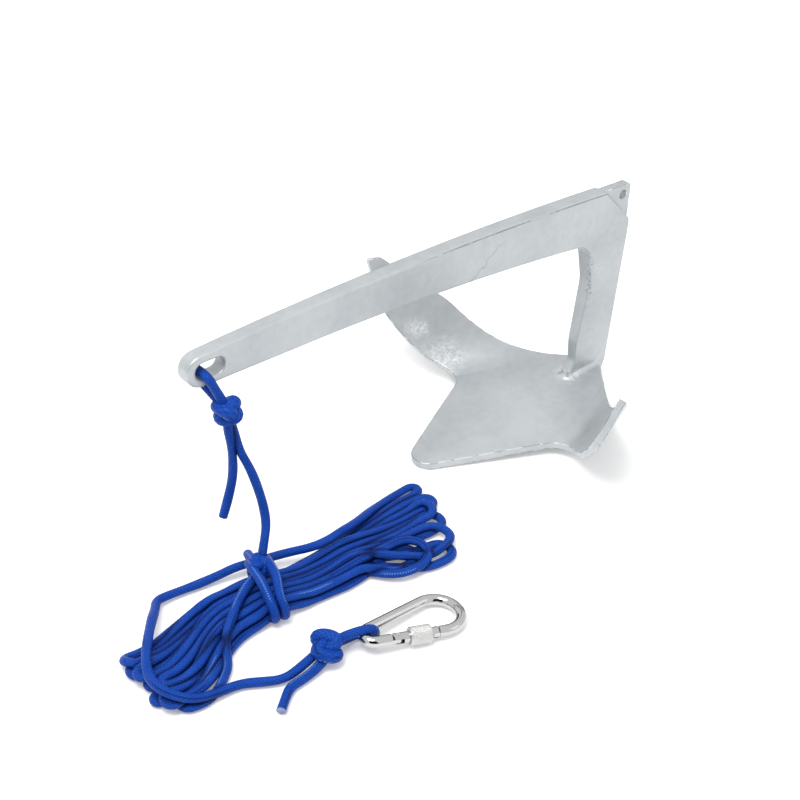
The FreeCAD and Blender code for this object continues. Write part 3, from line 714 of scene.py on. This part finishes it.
# %% Mottle group
def mottle_group():
    group, given, out = new_group("mottle", {"Broad": 20.0, "Fine": 200.0, "Balance": 0.5},
                                  ("Value", "Specks"))
    broad, fine = noise(group, given["Broad"], 3.0, 0.55), noise(group, given["Fine"], 2.0)
    mixed = add(group, "ShaderNodeMix")
    for number, value in ((0, given["Balance"]), (2, broad), (3, fine)):
        group.links.new(value, mixed.inputs[number])
    group.links.new(mixed.outputs[0], out["Value"])
    group.links.new(ramp(group, fine, 0.66, 0.72), out["Specks"])
    return group


mottle = mottle_group()
print("mottle group has", len(mottle.nodes), "nodes")

# %% [markdown]
# ## Blue rope
# Polypropylene yarn is dyed in the mass, so the blue is deep and even, with a soft sheen. The gaps between
# the yarns and the fold get painted shade, nearly black-blue. The braid is bump only, because its yarns are
# half a millimetre high. Each mark is laid over the colour in turn, with its own strength, and the painted
# shade where ropes touch comes last.

# %% Rope material
deep_blue, light_blue = (0.003, 0.042, 0.30), (0.010, 0.070, 0.42)
gap_shade_blue, stitch_blue = (0.001, 0.010, 0.11), (0.13, 0.27, 0.60)
fold_shade_blue, contact_shade_blue = (0.001, 0.012, 0.12), (0.0005, 0.005, 0.060)

rope_blue, tree, surface = new_material("blue braided rope", 0.0, 0.42)
braided = place_group(tree, braid, Yarns=8.0, Pitch=0.9)
shade = place_group(tree, mottle, Broad=60.0, Fine=900.0, Balance=0.35)["Value"]
# painted shade: this mark darkens the rope where another stretch of rope lies close
contact_shade = add(tree, "ShaderNodeAttribute", attribute_name="contact_shade").outputs["Fac"]
braid_shows = calc(tree, "MULTIPLY_ADD", ramp(tree, shade, 0.42, 0.58), 0.45, 0.25)
colour = blend_colours(tree, ramp(tree, shade, 0.35, 0.65), deep_blue, light_blue)
# painted shade: the gap and fold marks darken the blue where the braid's gaps and the fold would be in shade;
# the stitches are the rope's own paler yarn
marks = ((braided["GapShade"], braid_shows, gap_shade_blue), (braided["Stitches"], 0.75, stitch_blue),
         (braided["FoldShade"], 0.8, fold_shade_blue), (contact_shade, 0.95, contact_shade_blue))
for mark, strength, mark_blue in marks:
    colour = blend_colours(tree, product(tree, mark, strength), colour, mark_blue)
tree.links.new(colour, surface["Base Color"])
add_relief(tree, surface, braided["Height"], 0.7)
surface["Specular IOR Level"].default_value = 0.2
surface["Specular Tint"].default_value = (0.45, 0.68, 1.0, 1)
rope_pieces = [piece for piece, _ in laid.values()] + list(knots.values())
for piece in rope_pieces:
    piece.data.materials.append(rope_blue)
print("rope material on", len(rope_pieces), "pieces")

# %% [markdown]
# ## The cut end
# The tail at the hook ends in a straight cut that shows pale core fibres inside the blue cover. The faces of
# the tube's last cone were made last, so they are the last in the mesh and can take a second material.

# %% Cut rope core
rope_core, tree, surface = new_material("cut rope core", 0.0, 0.8)
fibres = place_group(tree, mottle, Broad=900.0, Fine=2600.0, Balance=0.5)["Value"]
fibre_dark, fibre_pale = (0.05, 0.10, 0.28), (0.42, 0.46, 0.56)
colour = blend_colours(tree, ramp(tree, fibres, 0.35, 0.65), fibre_dark, fibre_pale)
tree.links.new(colour, surface["Base Color"])
cut_tail = laid["line_tail_at_hook"][0].data
cut_tail.materials.append(rope_core)
for face in cut_tail.polygons[-free_rope["around"]:]:
    face.material_index = 1
print("cut core on", free_rope["around"], "faces")

# %% [markdown]
# ## Patches in chosen places as a node group
# Some marks sit at one place of a casting: a rough bead, a bright rub, a line of flecks. This group measures
# how far a point is from a given place, makes the border ragged with noise and gives a mask that fades out.
# `Tall` stretches the patch upwards.

# %% Local patch group
def patch_group():
    group, given, out = new_group("local patch", {"X": 0.0, "Y": 0.0, "Z": 0.0, "Size": 0.01, "Tall": 1.0},
                                  ("Mask",))
    squares = []
    for label, here in zip("XYZ", axes_of(group, object_place(group))):
        away = calc(group, "DIVIDE", calc(group, "SUBTRACT", here, given[label]), given["Size"])
        if label == "Z":
            away = calc(group, "DIVIDE", away, given["Tall"])
        squares.append(product(group, away, away))
    apart = calc(group, "SQRT", calc(group, "ADD", calc(group, "ADD", squares[0], squares[1]), squares[2]))
    uneven = product(group, calc(group, "SUBTRACT", noise(group, 180.0, 2.0), 0.5), 0.9)
    group.links.new(rest_of(group, ramp(group, calc(group, "ADD", apart, uneven), 0.25, 1.05)), out["Mask"])
    return group


patch = patch_group()
print("patch group has", len(patch.nodes), "nodes")

# %% [markdown]
# ## Galvanised steel
# Hot-dip zinc is a satin metal with a faint crystal pattern and cloudy patches. Two greys are mixed by the
# broad noise, and a Voronoi texture gives each crystal its own slight shade.

# %% Galvanised material
zinc_dark, zinc_light, zinc_crystal = (0.425, 0.455, 0.472), (0.535, 0.562, 0.575), (0.36, 0.39, 0.41)

galvanised, tree, surface = new_material("galvanised steel", 0.55, 0.42)
clouds = place_group(tree, mottle, Broad=16.0, Fine=150.0, Balance=0.3)
grain = place_group(tree, mottle, Broad=420.0, Fine=700.0, Balance=0.4)["Value"]
crystals = add(tree, "ShaderNodeTexVoronoi", in_Scale=110.0)
tree.links.new(object_place(tree), crystals.inputs["Vector"])
crystal_shade = add(tree, "ShaderNodeSeparateColor")
tree.links.new(crystals.outputs["Color"], crystal_shade.inputs[0])
colour = blend_colours(tree, ramp(tree, clouds["Value"], 0.36, 0.64), zinc_dark, zinc_light)
colour = blend_colours(tree, product(tree, crystal_shade.outputs[0], 0.08), colour, zinc_crystal)
print("zinc mottling of", len(tree.nodes), "nodes")

# %% [markdown]
# ## Bright and rough places
# The photograph shows a bead of rough zinc at the foot of the arm and a rubbed, sparkling place on the far
# horn. The patch masks put them there, and the grain lets only its peaks shine, so they stay soft.

# %% Bright and rough places
painted_sparkle_white = (0.80, 0.82, 0.83)
foot_bead = place_group(tree, patch, X=0.158, Y=0.0, Z=0.018, Size=0.015, Tall=0.6)["Mask"]
horn_bright = place_group(tree, patch, X=0.092, Y=0.082, Z=0.021, Size=0.021, Tall=0.9)["Mask"]
horn_rough = place_group(tree, patch, X=0.080, Y=0.104, Z=0.043, Size=0.013, Tall=0.7)["Mask"]
rough_patch = calc(tree, "MAXIMUM", foot_bead, horn_rough)
bright_patch = calc(tree, "MAXIMUM", rough_patch, horn_bright)
# painted highlight: the grain's peaks turn pale as sparkle on the rough bead and the rubbed horn, partly the
# paler rough zinc itself
painted_sparkle = product(tree, bright_patch, ramp(tree, grain, 0.38, 0.62))
colour = blend_colours(tree, painted_sparkle, colour, painted_sparkle_white)
print("bright places at the arm's foot and the far horn")

# %% [markdown]
# ## Flecks, hairline and run of zinc
# Three small dark marks are laid together. Flecks of dross sit on the arm's inner edge. A hairline breaks in
# and out along the shank's upper edge, found by the way the surface faces and by its height. One thin run of
# zinc slants down the shank: it is the band near a line in the side view, made to wander by a noise.

# %% Flecks
arm_flecks = place_group(tree, patch, X=0.1665, Y=-0.0062, Z=0.105, Size=0.0055, Tall=6.5)["Mask"]
flecks = product(tree, arm_flecks, ramp(tree, grain, 0.54, 0.60))
flecks = calc(tree, "MAXIMUM", flecks, product(tree, clouds["Specks"], 0.12))
print("flecks along the arm")

# %% Hairline and run of zinc
mark_grey = (0.16, 0.17, 0.175)
run_from, run_height, run_slope, run_top = 0.0481, 0.1576, 1.34, 0.174
face_normal = add(tree, "ShaderNodeNewGeometry").outputs["Normal"]
_, facing_y, facing_z = axes_of(tree, face_normal)
here_x, here_y, here_z = axes_of(tree, object_place(tree))
hairline = product(
    tree, ramp(tree, facing_z, 0.30, 0.42), ramp(tree, facing_z, 0.82, 0.70),
    ramp(tree, facing_y, -0.5, -0.6), calc(tree, "GREATER_THAN", here_z, 0.15),
    ramp(tree, here_x, -0.02, 0.02), ramp(tree, clouds["Value"], 0.47, 0.51))
wander = noise(tree, 130.0, 1.0)
run_x = calc(tree, "MULTIPLY_ADD", calc(tree, "SUBTRACT", here_z, run_height), run_slope, run_from)
run_x = calc(tree, "ADD", run_x, product(tree, calc(tree, "SUBTRACT", wander, 0.5), 0.016))
run = ramp(tree, calc(tree, "ABSOLUTE", calc(tree, "SUBTRACT", here_x, run_x)), 0.0014, 0.0003)
on_near_side = product(tree, calc(tree, "LESS_THAN", here_y, -0.005), 0.4)
run = product(tree, run, ramp(tree, here_z, run_top, run_top - 0.004), on_near_side)
dark = calc(tree, "MAXIMUM", flecks, calc(tree, "MAXIMUM", product(tree, hairline, 0.75), run))
colour = blend_colours(tree, dark, colour, mark_grey)
print("dark marks: flecks, hairline and one run")

# %% [markdown]
# ## Edges of the plate
# Zinc rounds the edges of the plate. A painted highlight runs along them where the rounding catches the
# light, partly real bright wear, and here and there a broken dark line. A Bevel node gives the normal of a
# rounded edge. Where it differs from the real normal there is an edge, and that mask is broken up by two
# noises. The edges and the rubbed horn are also a little glossier.

# %% Edges of the plate
edge_wear_and_highlight, edge_dark_line = (0.86, 0.88, 0.89), (0.14, 0.15, 0.155)
rounded = add(tree, "ShaderNodeBevel", samples=8, in_Radius=0.0014).outputs[0]
likeness = add(tree, "ShaderNodeVectorMath", operation="DOT_PRODUCT")
tree.links.new(rounded, likeness.inputs[0])
tree.links.new(face_normal, likeness.inputs[1])
at_edge = ramp(tree, likeness.outputs["Value"], 0.985, 0.93)
# painted highlight along the rounded edges, partly real bright wear
worn_and_highlit = product(tree, at_edge, ramp(tree, clouds["Value"], 0.46, 0.54))
colour = blend_colours(tree, product(tree, worn_and_highlit, 0.8), colour, edge_wear_and_highlight)
# broken dark lines along the edges
dark_line_at_edge = product(tree, at_edge, ramp(tree, wander, 0.50, 0.44))
colour = blend_colours(tree, product(tree, dark_line_at_edge, 0.7), colour, edge_dark_line)
tree.links.new(colour, surface["Base Color"])
dullness = calc(tree, "ADD", product(tree, clouds["Value"], 0.28), 0.25)
rubbed = product(tree, calc(tree, "MAXIMUM", at_edge, horn_bright), 0.12)
tree.links.new(calc(tree, "SUBTRACT", dullness, rubbed), surface["Roughness"])
print("edges rounded over 1.4 mm")

# %% [markdown]
# ## Relief of the zinc
# The coat is slightly uneven everywhere, like orange peel where it was rubbed and lumpy in the rough places.
# One bump carries all three, and it starts from the rounded edge's normal.

# %% Relief of the zinc
peel = product(tree, bright_patch, product(tree, grain, 0.9))
lumps = product(tree, rough_patch, product(tree, crystals.outputs["Distance"], 1.6))
uneven = calc(tree, "ADD", clouds["Value"], calc(tree, "ADD", peel, lumps))
add_relief(tree, surface, uneven, 0.22, under=rounded)
print("galvanised steel has", len(tree.nodes), "nodes")

# %% [markdown]
# ## Polished steel of the hook
# The snap hook is bright stainless wire. Polishing leaves very fine scratches, so its roughness varies a
# little. The sleeve is the same steel, but its knurl scatters the light and makes it look white.

# %% Hook materials
def steel(name, metallic, roughness, broad, fine, dark_steel, light_steel):
    material, tree, surface = new_material(name, metallic, roughness)
    rub = place_group(tree, mottle, Broad=broad, Fine=fine, Balance=0.5)["Value"]
    tree.links.new(blend_colours(tree, rub, dark_steel, light_steel), surface["Base Color"])
    return material, tree, surface, rub


wire_dark, wire_light = (0.44, 0.44, 0.445), (0.60, 0.595, 0.59)
knurl_dark, knurl_light = (0.50, 0.50, 0.49), (0.68, 0.68, 0.67)
polished, tree, surface, rub = steel("polished steel", 1.0, 0.13, 90.0, 1400.0, wire_dark, wire_light)
tree.links.new(calc(tree, "ADD", product(tree, rub, 0.08), 0.03), surface["Roughness"])
satin = steel("knurled steel", 0.9, 0.45, 200.0, 2500.0, knurl_dark, knurl_light)[0]

finish_of = {"claw_anchor": galvanised, "snap_hook_body": polished, "snap_hook_gate": polished,
             "snap_hook_hinge_pin": satin, "snap_hook_latch_pin": satin, "snap_hook_sleeve": satin}
for name, material in finish_of.items():
    mesh = nodes[name].data
    if not len(mesh.materials):
        mesh.materials.append(material)
    for slot in nodes[name].material_slots:
        slot.material = material
print("finished CAD nodes:", ", ".join(finish_of))

# %% [markdown]
# ## The knurled sleeve
# The sleeve is a nut with a diamond knurl rolled into it. Two sets of grooves that wind opposite ways leave
# small pyramids. They are cut here as real shape, because they show at the sleeve's outline. The gate's
# hinge, the gate's direction and the hook's upward direction come from the CAD model.

# %% Sleeve's place and sizes
hook_along = Vector((0.9378852879674979, -0.33421856644157144, -0.09310819759754912))
hook_up = Vector((0.09382971011382289, -0.014022944132809204, 0.995489498959082))
hinge_at = Vector((-0.15116156, -0.15280712, 0.00912308))
low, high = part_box("snap_hook_sleeve")
middle = (Vector(low) + Vector(high)) / 2
sleeve_middle = hinge_at + hook_along * (middle - hinge_at).dot(hook_along)
sleeve_across = hook_up.cross(hook_along).normalized()
sleeve_up = hook_along.cross(sleeve_across)
sleeve_length, sleeve_radius, bore_radius = 0.0155, 0.0065, 0.0042
grooves, groove_turns, groove_depth = 24, 9, 0.00016
chamfer, run_out = 0.0008, 0.0006
print("sleeve in the middle at", [round(c, 4) for c in sleeve_middle])


# %% Sleeve as a mesh
def sleeve_point(t, angle, radius):
    """The point at share t of the sleeve's length, at an angle and radius round its axis."""
    out = sleeve_across * radius * math.cos(angle) + sleeve_up * radius * math.sin(angle)
    return (sleeve_middle + hook_along * (t - 0.5) * sleeve_length + out)[:]


def knurled_radius(t, angle):
    wind = 2 * math.pi * t * groove_turns
    ridge = max(math.sin(grooves * angle + wind), math.sin(grooves * angle - wind))
    inside = min(t, 1 - t) * sleeve_length
    cut = groove_depth * (1 - ridge) * min(1, max(0, (inside - chamfer) / run_out))
    return sleeve_radius - cut - max(0, chamfer - inside)


def sleeve_mesh(around=144, rings=48):
    angles = [2 * math.pi * j / around for j in range(around)]
    shares = [i / rings for i in range(rings + 1)]
    verts = [sleeve_point(t, a, knurled_radius(t, a)) for t in shares for a in angles]
    verts += [sleeve_point(t, a, bore_radius) for t in (0, 1) for a in angles]
    top, bore = rings * around, (rings + 1) * around
    faces = []
    for j in range(around):
        k = (j + 1) % around
        for a in range(0, top, around):
            faces.append((a + j, a + k, a + around + k, a + around + j))
        faces.append((bore + j, bore + k, k, j))
        faces.append((top + j, top + k, bore + around + k, bore + around + j))
        faces.append((bore + k, bore + j, bore + around + j, bore + around + k))
    mesh = bpy.data.meshes.new("knurled_sleeve")
    mesh.from_pydata(verts, [], faces)
    mesh.update()
    return mesh


sleeve = put_in_scene("knurled_sleeve", sleeve_mesh())
sleeve.data.materials.append(satin)
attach(sleeve, "sleeve")
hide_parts("snap_hook_sleeve")
print("sleeve has", len(sleeve.data.polygons), "faces")

# %% [markdown]
# ## Floor and lamps
# The object stands on a plain white floor in soft light. A large lamp from above left gives the form, and a
# weaker one from the right fills the shade. Only the rays that look straight at the floor, or see it in
# metal or through glass, get its glow. It whitens the picture and lights nothing.

# %% Floor
def rays_that_look(tree):
    path = add(tree, "ShaderNodeLightPath").outputs
    return calc(tree, "MAXIMUM", path["Is Camera Ray"],
                calc(tree, "MAXIMUM", path["Is Glossy Ray"], path["Is Transmission Ray"]))


floor_half, floor_gap, floor_glow = 6, 0.0004, 0.22
floor_mesh = bpy.data.meshes.new("floor")
corners = [(x * floor_half, y * floor_half, 0) for x, y in ((-1, -1), (1, -1), (1, 1), (-1, 1))]
floor_mesh.from_pydata(corners, [], [(0, 1, 2, 3)])
floor = put_in_scene("floor", floor_mesh)
floor.location.z = -floor_gap
floor_finish, tree, surface = new_material("pale floor", 0.0, 0.9)
surface["Base Color"].default_value = (0.90, 0.90, 0.90, 1)
surface["Specular IOR Level"].default_value = 0.1
surface["Emission Color"].default_value = (1, 1, 1, 1)
tree.links.new(product(tree, rays_that_look(tree), floor_glow), surface["Emission Strength"])
floor_mesh.materials.append(floor_finish)
print("floor of", 2 * floor_half, "m")


# %% Lamps
def lamp(name, place, size, power):
    data = bpy.data.lights.new(name, "AREA")
    data.size = size
    data.energy = power
    made = put_in_scene(name, data)
    made.location = place
    made.rotation_euler = (Vector((0, 0, 0.05)) - Vector(place)).to_track_quat("-Z", "Y").to_euler()
    print(name, "lamp of", power, "W")


lamp("key", (-0.7, -0.3, 1.8), 0.9, 25)
lamp("fill", (0.9, -1.3, 0.9), 1.0, 1.5)

# %% [markdown]
# ## Dark cards
# Polished steel shows only what stands round it, and in an all-white room it would look like paper. A
# photographer stands black cards beside the set, so that dark lines run along the wire. These two are seen
# in reflections only: they throw no shadow and the camera doesn't see them.

# %% Dark cards
card_black, tree, surface = new_material("black card", 0.0, 1.0)
surface["Base Color"].default_value = (0.01, 0.01, 0.01, 1)
surface["Specular IOR Level"].default_value = 0.0


def dark_card(name, middle, half_wide, bottom, top):
    """A black card that stands upright, facing the object."""
    way = Vector((-middle[1], middle[0], 0)).normalized() * half_wide
    centre = Vector((*middle, 0))
    verts = [(c.x, c.y, z) for z in (bottom, top) for c in (centre - way, centre + way)]
    mesh = bpy.data.meshes.new(name)
    mesh.from_pydata(verts, [], [(0, 1, 3, 2)])
    mesh.materials.append(card_black)
    card = put_in_scene(name, mesh)
    for ray in ("camera", "diffuse", "shadow", "transmission"):
        setattr(card, "visible_" + ray, False)


dark_card("card behind", (1.6, 1.95), 1.8, 0.0, 0.9)
dark_card("card in front", (-2.1, -2.5), 1.6, 0.3, 4.0)
print("two dark cards stand round the object")

# %% [markdown]
# ## White room
# The world is the room. It lights the object softly, brighter from above than from the side, as a tent of
# white cloth does. For the camera and for reflections it is plain white.

# %% White room
world = bpy.data.worlds.new("studio")
bpy.context.scene.world = world
world.use_nodes = True
tree = world.node_tree
tree.nodes.clear()
upwards = axes_of(tree, add(tree, "ShaderNodeTexCoord").outputs["Generated"])[2]
side_light, top_light = 0.06, 0.95
height = add(tree, "ShaderNodeMapRange", in_From_Min=0.0, in_From_Max=0.7,
             in_To_Min=side_light, in_To_Max=top_light)
tree.links.new(upwards, height.inputs["Value"])
light, white = (add(tree, "ShaderNodeBackground", in_Color=(1, 1, 1, 1), in_Strength=1.0) for _ in range(2))
tree.links.new(height.outputs[0], light.inputs["Strength"])
room = add(tree, "ShaderNodeMixShader")
for number, value in enumerate((rays_that_look(tree), light.outputs[0], white.outputs[0])):
    tree.links.new(value, room.inputs[number])
tree.links.new(room.outputs[0], add(tree, "ShaderNodeOutputWorld").inputs[0])
bpy.context.scene.view_settings.view_transform = "Standard"
print("room light from", side_light, "at the side to", top_light, "above")
